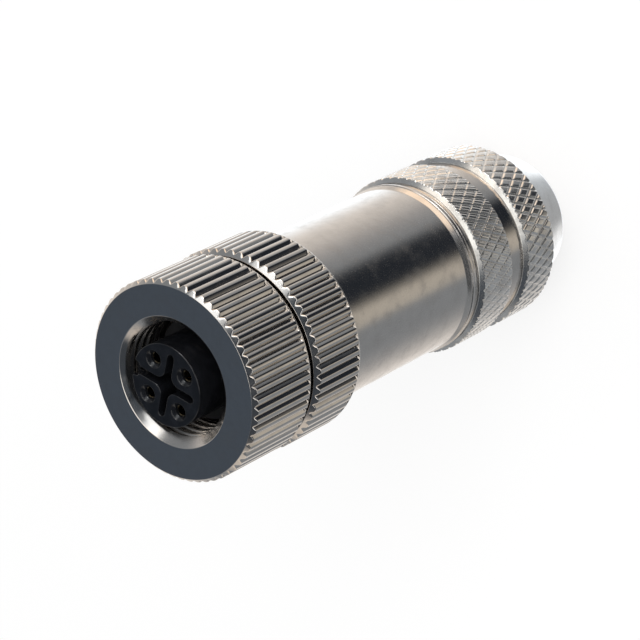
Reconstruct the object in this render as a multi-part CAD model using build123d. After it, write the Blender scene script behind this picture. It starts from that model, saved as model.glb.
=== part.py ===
"""Four-pole female round plug connector with a screw coupling and a cable gland.

It stands on the rear face of its gland nut, with +Z towards the mating face.
The origin is the centre of that rear face, and +X points to the keyway.
Screw threads are plain cylinders at their crest radius.
"""
import os
from math import ceil, cos, pi, sin
from build123d import *

# Clearances, in millimetres
RUNNING = 0.05            # turning and threaded fits, on the radius
LOOSE = 0.15              # pieces that only have to pass each other
SLIP = 0.03               # pieces pushed into each other by hand
EDGE = 0.15               # small chamfer on machined edges

# Housing sleeve, whose radius drives most others
SLEEVE_R = 8.54
SLEEVE_STEP = 0.29        # from the smooth barrel down to its front thread
SLEEVE_WALL = 1.0         # under the front thread
BARREL_LEN = 18.85        # smooth length between collar and knurled ring
SLEEVE_ENGAGEMENT = 4.4   # length inside the carrier
COLLAR_RISE = 0.25
COLLAR_LEN = 1.2
COLLAR_GAP = 0.15         # dark line between collar and gland nut
LAND_RISE = 0.55          # seat of the gland nut, above its thread
SPIGOT_STEP = 1.04        # from the smooth barrel down to the rear thread
SPIGOT_WALL = 0.9
THROAT_RISE = 0.35        # throat over the cage's bore, once the fingers bend in
TAPER_LEN = 1.3
SHIELD_SEAT_INSET = 0.6   # shield ring's shoulder beyond the collar

# Coupling nut
NUT_DROP = 0.15           # its tips lie under the ring's
NUT_LEN = 8.2
NUT_FACE_CHAMFER = 0.45
NUT_FLANGE_LEN = 1.3
NUT_PLAY = 0.6            # float along the carrier
NUT_GAP = 0.6             # seen between nut and knurled ring
MOUTH_R = 6.4
THREAD_MINOR_R = 5.5      # M12 x 1, nut side

# Straight knurl, cut on nut and carrier
KNURL_TEETH = 60
KNURL_DEPTH = 0.33
KNURL_CREST_SHARE = 0.2   # of a tooth's width
KNURL_RIM_LEN = 0.3       # uncut rim behind the teeth
KNURL_RIM_DROP = 0.12     # from the tips down to it

# Retaining clip
CLIP_THICKNESS = 0.6
CLIP_WIDTH = 0.9
CLIP_MOUTH = 2.4          # opening of the spring ring

# Metal carrier with its knurled ring
RING_RISE = 1.46          # knurl tips over the sleeve
RING_LEN = 6.6
RING_CHAMFER = 0.53
NECK_R = 5.45
NECK_WALL = 0.95
NECK_GROOVE_DEPTH = 0.35
NECK_LIP_LEN = 0.4
BOSS_RISE = 1.55          # raised seat that the nut turns on, over the neck

# Contact insert
INSERT_R = 4.05
INSERT_PROUD = 0.85       # stands out of the nut's face
INSERT_FLANGE_INSET = 0.3  # its flange lies inside the terminal block's rim
INSERT_FLANGE_LEN = 1.0
KEYWAY_WIDTH = 1.5
KEYWAY_DEPTH = 0.7
CROSS_ARM_WIDTH = 0.85
CROSS_ARM_REACH = 3.3
CROSS_HUB_WIDTH = 2.0     # of the slanted square where the arms meet
CROSS_DEPTH = 2.2
CONTACT_HOLE_R = 0.65
CONTACT_LEAD_IN = 0.22
CONTACT_SETBACK = 0.6     # socket rim below the insert's face

# Female contacts
CONTACT_PCR = 2.65        # contacts sit on a 5.3 mm circle
POLES = 4
FIRST_POLE_ANGLE = 45
SOCKET_R = 0.85
SOCKET_BORE_R = 0.5
SOCKET_BORE_LEN = 6.0
SOCKET_SLIT = 0.2
SOCKET_SLIT_LEN = 4.5
TERMINAL_R = 1.6
TERMINAL_LEN = 7.0
WIRE_HOLE_R = 0.75
WIRE_HOLE_LEN = 5.2

# Terminal block, clamp screws and wire guards
BLOCK_CLEARANCE = 0.85    # to the sleeve, for the braid
BLOCK_LEN = 13.0
TERMINAL_RECESS = 1.0
SCREW_R = 0.95
SCREW_RECESS = 0.25
SCREW_SLOT_WIDTH = 0.35
SCREW_SLOT_DEPTH = 0.5
GUARD_THICKNESS = 0.2
GUARD_WIDTH = 0.9
GUARD_LEN = 3.0

# Seals at the front
FACE_SEAL_LEN = 0.9
FACE_SEAL_WALL = 0.95
BODY_SEAL_LEN = 0.8
BODY_SEAL_WALL = 1.0

# Shield ring and finger spring
SHIELD_RING_LEN = 2.5
SHIELD_RING_WALL = 1.7
SPRING_THICKNESS = 0.25
SPRING_BAND = 1.0
SPRING_FINGERS = 8
SPRING_FINGER_WIDTH = 1.2
SPRING_FINGER_LEN = 1.7

# Gland nut
GLAND_RISE = 0.68         # diamond tips over the sleeve
GLAND_GROOVE_DEPTH = 0.57
GLAND_END_WALL = 2.09
CONE_LEN = 5.7
REAR_BAND_LEN = 4.3
GLAND_GROOVE_LEN = 2.53
FRONT_BAND_LEN = 4.55
FRONT_LAND_LEN = 0.48
BAND_CHAMFER = 0.54       # just less than the groove's depth
THRUST_SETBACK = 0.5      # inner shoulder behind the end of the cone
DIAMONDS = 50             # round the nut
DIAMOND_DEPTH = 0.28      # from their tips to where grooves cross
DIAMOND_ROW = 1.075       # half a diamond's length

# Thrust washer, clamp cage and cable seal
WASHER_THICKNESS = 0.8
CAGE_FLANGE_LEN = 1.2
CAGE_LIP_LEN = 0.9
CAGE_LIP = 0.3            # step under the grommet
CAGE_FINGER_LEN = 6.0
CAGE_FINGERS = 6
CAGE_SLOT_WIDTH = 0.9
CAGE_WALL = 1.5
CAGE_TIP_CHAMFER = 0.6
CLAMP_STROKE = 0.8        # how far the cage can go in before its flange stops it
CABLE_SEAL_WALL = 1.22
CABLE_SEAL_LEN = 5.6
CABLE_SEAL_LEAD = 0.7

# Stations along the axis, from the rear face up
Z_REAR_BAND_TOP = CONE_LEN + REAR_BAND_LEN
Z_GROOVE = Z_REAR_BAND_TOP + BAND_CHAMFER
Z_FRONT_BAND = Z_GROOVE + GLAND_GROOVE_LEN
Z_FRONT_BAND_TOP = Z_FRONT_BAND + FRONT_BAND_LEN
Z_LAND = Z_FRONT_BAND_TOP + BAND_CHAMFER + FRONT_LAND_LEN
Z_COLLAR = Z_LAND + COLLAR_GAP
Z_BARREL = Z_COLLAR + COLLAR_LEN
Z_RING = Z_BARREL + BARREL_LEN
Z_SLEEVE_FRONT = Z_RING + SLEEVE_ENGAGEMENT
Z_WEB = Z_SLEEVE_FRONT + BODY_SEAL_LEN
Z_RING_FRONT = Z_RING + RING_LEN
Z_NUT = Z_RING_FRONT + NUT_GAP
Z_CLIP = Z_NUT + NUT_FLANGE_LEN
Z_CLIP_TOP = Z_CLIP + CLIP_THICKNESS
Z_NECK_LIP = Z_CLIP_TOP + NUT_PLAY
Z_NECK_FRONT = Z_NECK_LIP + NECK_LIP_LEN
Z_FACE = Z_NUT + NUT_LEN
Z_INSERT = Z_FACE + INSERT_PROUD
Z_BLOCK = Z_WEB - BLOCK_LEN
Z_TERMINAL = Z_BLOCK + TERMINAL_RECESS
Z_TERMINAL_TOP = Z_TERMINAL + TERMINAL_LEN
Z_SCREW = Z_TERMINAL + TERMINAL_LEN / 2
Z_THRUST = CONE_LEN - THRUST_SETBACK
Z_WASHER_TOP = Z_THRUST + WASHER_THICKNESS
Z_CAGE_TOP = Z_WASHER_TOP + CAGE_FLANGE_LEN
Z_SEAL = Z_WASHER_TOP + CAGE_LIP_LEN
Z_FINGER_TOP = Z_CAGE_TOP + CAGE_FINGER_LEN
Z_SPIGOT = Z_CAGE_TOP + CLAMP_STROKE
Z_TAPER = Z_FINGER_TOP - CAGE_TIP_CHAMFER / 2
Z_THROAT = Z_TAPER + TAPER_LEN
Z_SHIELD = Z_BARREL + SHIELD_SEAT_INSET
Z_SPRING = Z_SHIELD + SHIELD_RING_LEN

# Radii that follow from the sleeve's, or from a fit
RING_TIP_R = SLEEVE_R + RING_RISE
NUT_TIP_R = RING_TIP_R - NUT_DROP
SLEEVE_THREAD_R = SLEEVE_R - SLEEVE_STEP
CHAMBER_R = SLEEVE_THREAD_R - SLEEVE_WALL
COLLAR_R = SLEEVE_R + COLLAR_RISE
SPIGOT_R = SLEEVE_R - SPIGOT_STEP
SPIGOT_BORE_R = SPIGOT_R - SPIGOT_WALL
GLAND_KNURL_R = SLEEVE_R + GLAND_RISE
GLAND_GROOVE_R = GLAND_KNURL_R - GLAND_GROOVE_DEPTH
GLAND_BORE_R = SPIGOT_R + RUNNING
BLOCK_R = CHAMBER_R - BLOCK_CLEARANCE
INSERT_FLANGE_R = BLOCK_R - INSERT_FLANGE_INSET
SHIELD_RING_R = CHAMBER_R - SLIP
NECK_BORE_R = NECK_R - NECK_WALL
NECK_GROOVE_R = NECK_R - NECK_GROOVE_DEPTH
NECK_LIP_R = THREAD_MINOR_R - LOOSE
INSERT_BASE_R = NECK_BORE_R - SLIP
CLIP_BORE_R = NECK_GROOVE_R + RUNNING
CLIP_OUTER_R = CLIP_BORE_R + CLIP_WIDTH
CLIP_SEAT_R = CLIP_OUTER_R + RUNNING
CAGE_R = SPIGOT_BORE_R - LOOSE
CAGE_BORE_R = CAGE_R - CAGE_WALL
CABLE_PASSAGE_R = CAGE_BORE_R - CAGE_LIP
CABLE_BORE_R = CABLE_PASSAGE_R - LOOSE
CABLE_SEAL_R = CAGE_BORE_R - CABLE_SEAL_WALL - SLIP

FAR = 3 * RING_TIP_R      # longer than anything that is cut


def turned(points):
    """A solid of revolution about Z from its half section, given as (radius, height)."""
    outline = Polyline([(radius, 0, height) for radius, height in points], close=True)
    return revolve(make_face(outline), Axis.Z)


def tube(inner_r, outer_r, low, high):
    """A plain ring between two heights."""
    return turned([(inner_r, low), (outer_r, low), (outer_r, high), (inner_r, high)])


def rod(radius, low, high, x=0.0):
    """A round bar along Z whose axis is x away from the connector's axis."""
    return Pos(x, 0, low) * extrude(Circle(radius), high - low)


def slab(x_low, x_high, width, low, high):
    """A block that is centred on the X axis."""
    size = (x_high - x_low, width, high - low)
    return Pos((x_low + x_high) / 2, 0, (low + high) / 2) * Box(*size)


def round_the_axis(solid, count, first_angle=0.0):
    """Copies of a solid at equal angles about Z."""
    return [Rot(0, 0, first_angle + 360 * k / count) * solid for k in range(count)]


def knurled(tip_r, low, high, chamfer):
    """A bar with V grooves between flat crests, chamfered at the front and with an uncut rim behind."""
    step = 2 * pi / KNURL_TEETH
    crest = KNURL_CREST_SHARE / 2
    corners = ((tip_r, -crest), (tip_r, crest), (tip_r - KNURL_DEPTH, 0.5))
    points = [
        (radius * cos((tooth + share) * step), radius * sin((tooth + share) * step))
        for tooth in range(KNURL_TEETH)
        for radius, share in corners
    ]
    rim_top = low + KNURL_RIM_LEN
    shoulder = high - chamfer
    teeth = Pos(0, 0, rim_top) * extrude(make_face(Polyline(*points, close=True)), high - rim_top)
    flats = Rot(0, 0, 180 / KNURL_TEETH) * RegularPolygon(tip_r, KNURL_TEETH, major_radius=False)
    chamfered = Pos(0, 0, shoulder) * extrude(flats, chamfer, taper=45)
    envelope = Pos(0, 0, rim_top) * extrude(flats, shoulder - rim_top) + chamfered
    return (teeth & envelope) + rod(tip_r - KNURL_RIM_DROP, low, rim_top)


def diamond_band(low, length):
    """A band whose skin is a net of low pyramids with crossing V grooves, chamfered at the front.

    The net's corners stand at equal angles on levels a row apart. Tips and groove
    crossings take turns round each level, and from one level to the next.
    """
    levels = ceil((length + BAND_CHAMFER) / DIAMOND_ROW) + 1
    net = [
        [
            Vector(GLAND_KNURL_R - DIAMOND_DEPTH * ((column + level) % 2), 0, low + level * DIAMOND_ROW)
            .rotate(Axis.Z, 180 * column / DIAMONDS)
            for column in range(2 * DIAMONDS)
        ]
        for level in range(levels)
    ]
    outlines = [net[0], net[-1]]
    for level, (lower, upper) in enumerate(zip(net, net[1:])):
        for column in range(2 * DIAMONDS):
            a, b, c, d = lower[column - 1], lower[column], upper[column], upper[column - 1]
            if (column + level) % 2:
                outlines += [(a, b, d), (b, c, d)]
            else:
                outlines += [(a, b, c), (a, c, d)]
    bar = Solid(Shell([Face(Wire.make_polygon(outline)) for outline in outlines]))
    rim = RegularPolygon(GLAND_KNURL_R, 2 * DIAMONDS)
    chamfered = Pos(0, 0, low + length) * extrude(rim, BAND_CHAMFER, taper=45)
    return bar & (Pos(0, 0, low) * extrude(rim, length) + chamfered)


def coupling_nut():
    """The knurled nut: flat face, countersunk threaded mouth, clip groove and rear flange."""
    body = knurled(NUT_TIP_R, Z_NUT, Z_FACE, NUT_FACE_CHAMFER)
    groove_top = Z_CLIP_TOP + RUNNING
    return body - turned([
        (0, Z_NUT - EDGE),
        (NECK_R + RUNNING, Z_NUT - EDGE),
        (NECK_R + RUNNING, Z_CLIP),
        (CLIP_SEAT_R, Z_CLIP),
        (CLIP_SEAT_R, groove_top),
        (THREAD_MINOR_R, groove_top),
        (THREAD_MINOR_R, Z_FACE - (MOUTH_R - THREAD_MINOR_R)),
        (MOUTH_R, Z_FACE),
        (MOUTH_R, Z_FACE + EDGE),
        (0, Z_FACE + EDGE),
    ])


def retaining_clip():
    """An open spring ring, half in the nut's groove and half in the neck's."""
    ring = tube(CLIP_BORE_R, CLIP_OUTER_R, Z_CLIP, Z_CLIP_TOP)
    mouth = slab(-FAR, 0, CLIP_MOUTH, Z_CLIP - EDGE, Z_CLIP_TOP + EDGE)
    return ring - mouth


def carrier_head():
    """The metal carrier: knurled ring at the rear, web, seat for the nut, grooved neck."""
    ring = knurled(RING_TIP_R, Z_RING, Z_RING_FRONT, RING_CHAMFER)
    neck = turned([
        (0, Z_RING_FRONT),
        (NECK_R + BOSS_RISE, Z_RING_FRONT),
        (NECK_R + BOSS_RISE, Z_NUT),
        (NECK_R, Z_NUT),
        (NECK_R, Z_CLIP),
        (NECK_GROOVE_R, Z_CLIP),
        (NECK_GROOVE_R, Z_NECK_LIP),
        (NECK_LIP_R, Z_NECK_LIP),
        (NECK_LIP_R, Z_NECK_FRONT),
        (0, Z_NECK_FRONT),
    ])
    thread_bore_r = SLEEVE_THREAD_R + RUNNING
    flange_top = Z_WEB + INSERT_FLANGE_LEN
    hollow = turned([
        (0, Z_RING - EDGE),
        (thread_bore_r, Z_RING - EDGE),
        (thread_bore_r, Z_WEB),
        (INSERT_FLANGE_R + SLIP, Z_WEB),
        (INSERT_FLANGE_R + SLIP, flange_top),
        (NECK_BORE_R, flange_top),
        (NECK_BORE_R, Z_NECK_FRONT + EDGE),
        (0, Z_NECK_FRONT + EDGE),
    ])
    return ring + neck - hollow


def face_recess():
    """The cross-shaped recess in the insert's face, whose first arm opens into the keyway."""
    low = Z_INSERT - CROSS_DEPTH
    high = Z_INSERT + EDGE
    arm = slab(0, CROSS_ARM_REACH - CROSS_ARM_WIDTH / 2, CROSS_ARM_WIDTH, low, high)
    arm += rod(CROSS_ARM_WIDTH / 2, low, high, x=CROSS_ARM_REACH - CROSS_ARM_WIDTH / 2)
    cross = Part() + round_the_axis(arm, POLES)
    cross += slab(0, INSERT_R, CROSS_ARM_WIDTH, low, high)
    hub = slab(-CROSS_HUB_WIDTH / 2, CROSS_HUB_WIDTH / 2, CROSS_HUB_WIDTH, low, high)
    return cross + Rot(0, 0, 45) * hub


def contact_insert():
    """The moulded insulator at the mating face, with its keyway and contact chambers."""
    base_top = Z_NECK_FRONT
    flange_top = Z_WEB + INSERT_FLANGE_LEN
    body = turned([
        (0, Z_WEB),
        (INSERT_FLANGE_R, Z_WEB),
        (INSERT_FLANGE_R, flange_top),
        (INSERT_BASE_R, flange_top),
        (INSERT_BASE_R, base_top),
        (INSERT_R, base_top),
        (INSERT_R, Z_INSERT),
        (0, Z_INSERT),
    ])
    keyway = slab(INSERT_R - KEYWAY_DEPTH, FAR, KEYWAY_WIDTH, base_top, Z_INSERT + EDGE)
    socket_rim = Z_INSERT - CONTACT_SETBACK
    chamber = turned([
        (0, Z_WEB - EDGE),
        (SOCKET_R + SLIP, Z_WEB - EDGE),
        (SOCKET_R + SLIP, socket_rim),
        (CONTACT_HOLE_R, socket_rim),
        (CONTACT_HOLE_R, Z_INSERT - CONTACT_LEAD_IN),
        (CONTACT_HOLE_R + CONTACT_LEAD_IN, Z_INSERT),
        (CONTACT_HOLE_R + CONTACT_LEAD_IN, Z_INSERT + EDGE),
        (0, Z_INSERT + EDGE),
    ])
    chambers = round_the_axis(Pos(CONTACT_PCR, 0, 0) * chamber, POLES, FIRST_POLE_ANGLE)
    return body - keyway - face_recess() - chambers


def face_seal():
    """The rubber ring round the insert's foot, on the end of the neck."""
    inner_r = INSERT_R + SLIP
    return tube(inner_r, inner_r + FACE_SEAL_WALL, Z_NECK_FRONT, Z_NECK_FRONT + FACE_SEAL_LEN)


def contact():
    """One turned female contact on the X axis: slit socket, shank and wire terminal."""
    rim = Z_INSERT - CONTACT_SETBACK
    body = turned([
        (0, Z_TERMINAL),
        (TERMINAL_R, Z_TERMINAL),
        (TERMINAL_R, Z_TERMINAL_TOP),
        (SOCKET_R, Z_TERMINAL_TOP),
        (SOCKET_R, rim),
        (0, rim),
    ])
    pin_bore = rod(SOCKET_BORE_R, rim - SOCKET_BORE_LEN, rim + EDGE)
    slit = slab(-2 * SOCKET_R, 2 * SOCKET_R, SOCKET_SLIT, rim - SOCKET_SLIT_LEN, rim + EDGE)
    wire_hole = rod(WIRE_HOLE_R, Z_TERMINAL - EDGE, Z_TERMINAL + WIRE_HOLE_LEN)
    screw_hole = Pos(0, 0, Z_SCREW) * Rot(0, 90, 0) * extrude(Circle(SCREW_R + SLIP), TERMINAL_R * 2)
    return Pos(CONTACT_PCR, 0, 0) * (body - pin_bore - slit - wire_hole - screw_hole)


def wire_guard():
    """One spring leaf in a wire hole, under the tip of its screw."""
    top = CONTACT_PCR + guard_top()
    return slab(top - GUARD_THICKNESS, top, GUARD_WIDTH, Z_SCREW - GUARD_LEN / 2, Z_SCREW + GUARD_LEN / 2)


def guard_top():
    """How far a leaf of the guard's width can lie from the middle of the wire hole."""
    half_width = GUARD_WIDTH / 2 + SLIP
    return (WIRE_HOLE_R ** 2 - half_width ** 2) ** 0.5


def terminal_screw():
    """One slotted headless clamp screw, pointing at the connector's axis."""
    tip = CONTACT_PCR + guard_top()
    head = BLOCK_R - SCREW_RECESS
    screw = Pos(tip, 0, Z_SCREW) * Rot(0, 90, 0) * extrude(Circle(SCREW_R), head - tip)
    slot = Pos(head, 0, Z_SCREW) * Box(2 * SCREW_SLOT_DEPTH, 2 * SCREW_R + EDGE, SCREW_SLOT_WIDTH)
    return screw - slot


def terminal_block():
    """The rear insulator: four terminal pockets, each with a window for its clamp screw."""
    pocket = rod(TERMINAL_R + SLIP, Z_BLOCK - EDGE, Z_TERMINAL_TOP, x=CONTACT_PCR)
    pocket += rod(SOCKET_R + SLIP, Z_TERMINAL_TOP, Z_WEB + EDGE, x=CONTACT_PCR)
    reach = SCREW_R + LOOSE
    pocket += slab(CONTACT_PCR, FAR, 2 * reach, Z_SCREW - reach, Z_SCREW + reach)
    return rod(BLOCK_R, Z_BLOCK, Z_WEB) - round_the_axis(pocket, POLES, FIRST_POLE_ANGLE)


def body_seal():
    """The flat ring that the sleeve's front end presses against the carrier's web."""
    outer_r = SLEEVE_THREAD_R - SLIP
    return tube(outer_r - BODY_SEAL_WALL, outer_r, Z_SLEEVE_FRONT, Z_WEB)


def housing_sleeve():
    """The smooth sleeve: threaded front end, rear collar, threaded spigot, taper inside."""
    throat_r = CAGE_BORE_R + THROAT_RISE
    return turned([
        (SPIGOT_BORE_R, Z_SPIGOT),
        (SPIGOT_R, Z_SPIGOT),
        (SPIGOT_R, Z_LAND),
        (SPIGOT_R + LAND_RISE, Z_LAND),
        (SPIGOT_R + LAND_RISE, Z_COLLAR),
        (COLLAR_R, Z_COLLAR),
        (COLLAR_R, Z_BARREL - COLLAR_RISE),
        (SLEEVE_R, Z_BARREL),
        (SLEEVE_R, Z_RING),
        (SLEEVE_THREAD_R, Z_RING),
        (SLEEVE_THREAD_R, Z_SLEEVE_FRONT),
        (CHAMBER_R, Z_SLEEVE_FRONT),
        (CHAMBER_R, Z_SHIELD),
        (throat_r, Z_SHIELD),
        (throat_r, Z_THROAT),
        (SPIGOT_BORE_R, Z_TAPER),
    ])


def shield_ring():
    """The ring that the cable's braid folds over, on the sleeve's inner shoulder."""
    return tube(SHIELD_RING_R - SHIELD_RING_WALL, SHIELD_RING_R, Z_SHIELD, Z_SPRING)


def shield_spring():
    """A flat star spring whose fingers reach in to the braid."""
    inner_r = SHIELD_RING_R - SPRING_BAND
    top = Z_SPRING + SPRING_THICKNESS
    finger = slab(inner_r - SPRING_FINGER_LEN, inner_r + EDGE, SPRING_FINGER_WIDTH, Z_SPRING, top)
    return tube(inner_r, SHIELD_RING_R, Z_SPRING, top) + round_the_axis(finger, SPRING_FINGERS)


def cable_seal():
    """The rubber grommet, with a lead-in at both ends of its bore."""
    outer_r = CAGE_BORE_R - SLIP
    high = Z_SEAL + CABLE_SEAL_LEN
    return turned([
        (CABLE_SEAL_R, Z_SEAL + CABLE_SEAL_LEAD),
        (CABLE_SEAL_R + CABLE_SEAL_LEAD, Z_SEAL),
        (outer_r, Z_SEAL),
        (outer_r, high),
        (CABLE_SEAL_R + CABLE_SEAL_LEAD, high),
        (CABLE_SEAL_R, high - CABLE_SEAL_LEAD),
    ])


def clamp_cage():
    """The plastic cage: flange, lip under the grommet and fingers that the taper bends in."""
    body = turned([
        (CABLE_PASSAGE_R, Z_WASHER_TOP),
        (SPIGOT_R - LOOSE, Z_WASHER_TOP),
        (SPIGOT_R - LOOSE, Z_CAGE_TOP),
        (CAGE_R, Z_CAGE_TOP),
        (CAGE_R, Z_FINGER_TOP - CAGE_TIP_CHAMFER),
        (CAGE_R - CAGE_TIP_CHAMFER, Z_FINGER_TOP),
        (CAGE_BORE_R, Z_FINGER_TOP),
        (CAGE_BORE_R, Z_SEAL),
        (CABLE_PASSAGE_R, Z_SEAL),
    ])
    slot = slab(CABLE_PASSAGE_R, FAR, CAGE_SLOT_WIDTH, Z_CAGE_TOP + EDGE, Z_FINGER_TOP + EDGE)
    return body - round_the_axis(slot, CAGE_FINGERS)


def thrust_washer():
    """The slip washer on the gland nut's inner shoulder."""
    return tube(CABLE_PASSAGE_R, SPIGOT_R, Z_THRUST, Z_WASHER_TOP)


def gland_nut():
    """The clamping nut: cone, two diamond-knurled bands with a groove between them, front land."""
    core = turned([
        (0, 0),
        (CABLE_BORE_R + GLAND_END_WALL, 0),
        (GLAND_GROOVE_R, CONE_LEN),
        (GLAND_GROOVE_R, Z_LAND),
        (0, Z_LAND),
    ])
    bands = diamond_band(CONE_LEN, REAR_BAND_LEN) + diamond_band(Z_FRONT_BAND, FRONT_BAND_LEN)
    bore = rod(CABLE_BORE_R, -EDGE, Z_LAND) + rod(GLAND_BORE_R, Z_THRUST, Z_LAND + EDGE)
    return core + bands - bore


def parts():
    """Every piece of the connector by name."""
    pieces = {
        "coupling_nut": coupling_nut(),
        "retaining_clip": retaining_clip(),
        "carrier_head": carrier_head(),
        "contact_insert": contact_insert(),
        "face_seal": face_seal(),
        "terminal_block": terminal_block(),
        "terminal_screws": Compound(round_the_axis(terminal_screw(), POLES, FIRST_POLE_ANGLE)),
        "body_seal": body_seal(),
        "housing_sleeve": housing_sleeve(),
        "shield_ring": shield_ring(),
        "shield_spring": shield_spring(),
        "cable_seal": cable_seal(),
        "clamp_cage": clamp_cage(),
        "thrust_washer": thrust_washer(),
        "gland_nut": gland_nut(),
    }
    contacts = round_the_axis(contact(), POLES, FIRST_POLE_ANGLE)
    guards = round_the_axis(wire_guard(), POLES, FIRST_POLE_ANGLE)
    for number, (pole, guard) in enumerate(zip(contacts, guards), start=1):
        pieces[f"contact_{number}"] = pole
        pieces[f"wire_guard_{number}"] = guard
    return pieces


os.makedirs("parts", exist_ok=True)
for name, piece in parts().items():
    export_step(piece, f"parts/{name}.step")
    print(name, "solids", len(piece.solids()), "volume", round(piece.volume, 2))
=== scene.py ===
"""Dresses the four-pole round plug connector in turned nickel and moulded insulator.

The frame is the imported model's: +Z points to the mating face, +X to the keyway, and the
origin is the centre of the gland nut's rear face. Sizes of the pieces, of their grain and of
the view are in millimetres, which MM turns into metres. Floor and lamp are given in metres.
"""
from __future__ import annotations

import logging
import math
from dataclasses import dataclass, field
from enum import Enum

import bpy
import numpy as np
from mathutils import Matrix, Vector
from mathutils.geometry import delaunay_2d_cdt
from numpy.typing import NDArray


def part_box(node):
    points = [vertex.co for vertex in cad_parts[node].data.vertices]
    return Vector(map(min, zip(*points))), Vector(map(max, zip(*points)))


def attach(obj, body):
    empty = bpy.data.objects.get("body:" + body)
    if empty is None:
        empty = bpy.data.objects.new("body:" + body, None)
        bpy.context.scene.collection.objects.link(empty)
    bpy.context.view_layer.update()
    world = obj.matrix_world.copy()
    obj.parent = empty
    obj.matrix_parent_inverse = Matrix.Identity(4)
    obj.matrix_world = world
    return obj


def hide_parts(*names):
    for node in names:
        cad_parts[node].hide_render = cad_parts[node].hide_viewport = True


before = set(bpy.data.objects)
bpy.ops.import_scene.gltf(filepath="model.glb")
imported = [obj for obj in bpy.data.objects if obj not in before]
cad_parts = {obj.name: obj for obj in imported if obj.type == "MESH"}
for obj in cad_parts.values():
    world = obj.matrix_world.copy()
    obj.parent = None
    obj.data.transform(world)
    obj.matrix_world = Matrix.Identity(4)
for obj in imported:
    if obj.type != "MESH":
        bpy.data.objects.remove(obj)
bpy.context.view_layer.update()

MM = 0.001
TURN = 2.0 * math.pi
WHITE = (1.0, 1.0, 1.0, 1.0)

SAME_POINT = 1e-6  # points of a cap nearer than this are one
LEVEL_RISE = 1e-12  # a rim's step that rises less counts as level
IN_HOLE = 0.98  # a triangle nearer a hole's centre than this share of its radius lies in it
EDGE_GUARD = 1.4  # how far a guard row lies from a rounded edge, over the edge's radius

Array = NDArray[np.float64]
Numbers = NDArray[np.int64]
Colour = tuple[float, float, float]
Piece = bpy.types.Object
Socket = bpy.types.NodeSocket
Inputs = dict[str | int, object]
log = logging.getLogger("plug_connector")


class Slot(Enum):
    """The material slots of the connector's record."""

    KNURLED_NICKEL = "knurled_nickel"
    SATIN_NICKEL = "satin_nickel"
    BLACK_INSULATOR = "black_insulator"
    BLACK_RUBBER = "black_rubber"
    GOLD_CONTACT = "gold_contact"
    BARE_BRASS = "bare_brass"
    SPRING_STEEL = "spring_steel"
    SCREW_STEEL = "screw_steel"
    CAGE_PLASTIC = "cage_plastic"


def node_span(node: str) -> tuple[float, float]:
    """The lowest and highest point of a CAD node along the axis, in millimetres."""
    low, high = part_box(node)
    return low[2] / MM, high[2] / MM


def node_radius(node: str) -> float:
    """The outer radius of a round CAD node, in millimetres."""
    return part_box(node)[1][1] / MM


@dataclass(frozen=True)
class Corner:
    """One corner of a turned outline.

    Attributes:
        radius: Distance from the axis in millimetres.
        height: Height in millimetres.
        ease: How far from the corner its rounding starts, on both sides, or 0 for a sharp one.
        cuts: Equal pieces of the side that leaves this corner.
    """

    radius: float
    height: float
    ease: float = 0.0
    cuts: int = 1


def outline(corners: list[Corner], steps: int = 3, guard: float = 1.5, most: float = 0.45) -> Array:
    """Points of a closed outline with its corners rounded.

    A rounded corner becomes a parabola arc. It starts and ends at the distance ease from the
    corner, which is its control point: (1-t)^2 A + 2 t (1-t) C + t^2 B. A guard point on both
    sides, at guard times that distance, keeps the straight sides straight in the shading.

    Args:
        corners: The corners in order round the outline.
        steps: Pieces of each arc.
        guard: Distance of the guard points over the ease.
        most: Largest share of a side that lies between a corner and its guard point.

    Returns:
        Radius and height of each point, one row a point.
    """
    place = np.array([(c.radius, c.height) for c in corners])
    ahead = np.roll(place, -1, axis=0) - place
    reach = np.linalg.norm(ahead, axis=1)
    ahead = ahead / reach[:, None]
    room = most / guard * np.minimum(reach, np.roll(reach, 1))
    ease = np.minimum([c.ease for c in corners], room)
    t = np.linspace(0.0, 1.0, steps + 1)[:, None]
    rows = []
    for k, corner in enumerate(corners):
        ahead_before, after = ahead[k - 1], (k + 1) % len(corners)
        leave = place[k] + guard * ease[k] * ahead[k]
        if ease[k] > 0.0:
            start = place[k] - ease[k] * ahead_before
            end = place[k] + ease[k] * ahead[k]
            rows.append((place[k] - guard * ease[k] * ahead_before)[None, :])
            rows.append((1 - t) ** 2 * start + 2 * t * (1 - t) * place[k] + t**2 * end)
        rows.append(leave[None, :])
        share = np.linspace(0.0, 1.0, corner.cuts + 1)[1:-1, None]
        rows.append(leave + share * (place[after] - guard * ease[after] * ahead[k] - leave))
    return np.concatenate(rows)


def closed_mesh(name: str, points: Array, *groups: Numbers, crease: float = 38.0) -> Piece:
    """Puts computed points and faces into a mesh whose faces point outwards.

    The signed volume is the sum over faces of A . (B x C) / 6, and where it is negative
    every face is turned round.

    Args:
        name: The piece's name.
        points: Positions in millimetres, one row a point.
        *groups: Point numbers, one row a face, with as many corners throughout a group.
        crease: Edges that bend more than this many degrees are drawn sharp.

    Returns:
        The object, at the origin, with its place in its mesh.
    """
    fans = [faces[:, [0, k, k + 1]] for faces in groups for k in range(1, faces.shape[1] - 1)]
    a, b, c = (points[np.concatenate(fans)[:, k]] for k in range(3))
    turn = -1 if np.einsum("ij,ij->", a, np.cross(b, c)) < 0.0 else 1
    faces = [face for group in groups for face in group[:, ::turn].tolist()]
    mesh = bpy.data.meshes.new(name)
    mesh.from_pydata((points * MM).tolist(), [], faces)
    mesh.validate()
    mesh.polygons.foreach_set("use_smooth", np.ones(len(mesh.polygons), dtype=bool))
    mesh.set_sharp_from_angle(angle=math.radians(crease))
    piece = bpy.data.objects.new(name, mesh)
    bpy.context.scene.collection.objects.link(piece)
    return piece


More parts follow.
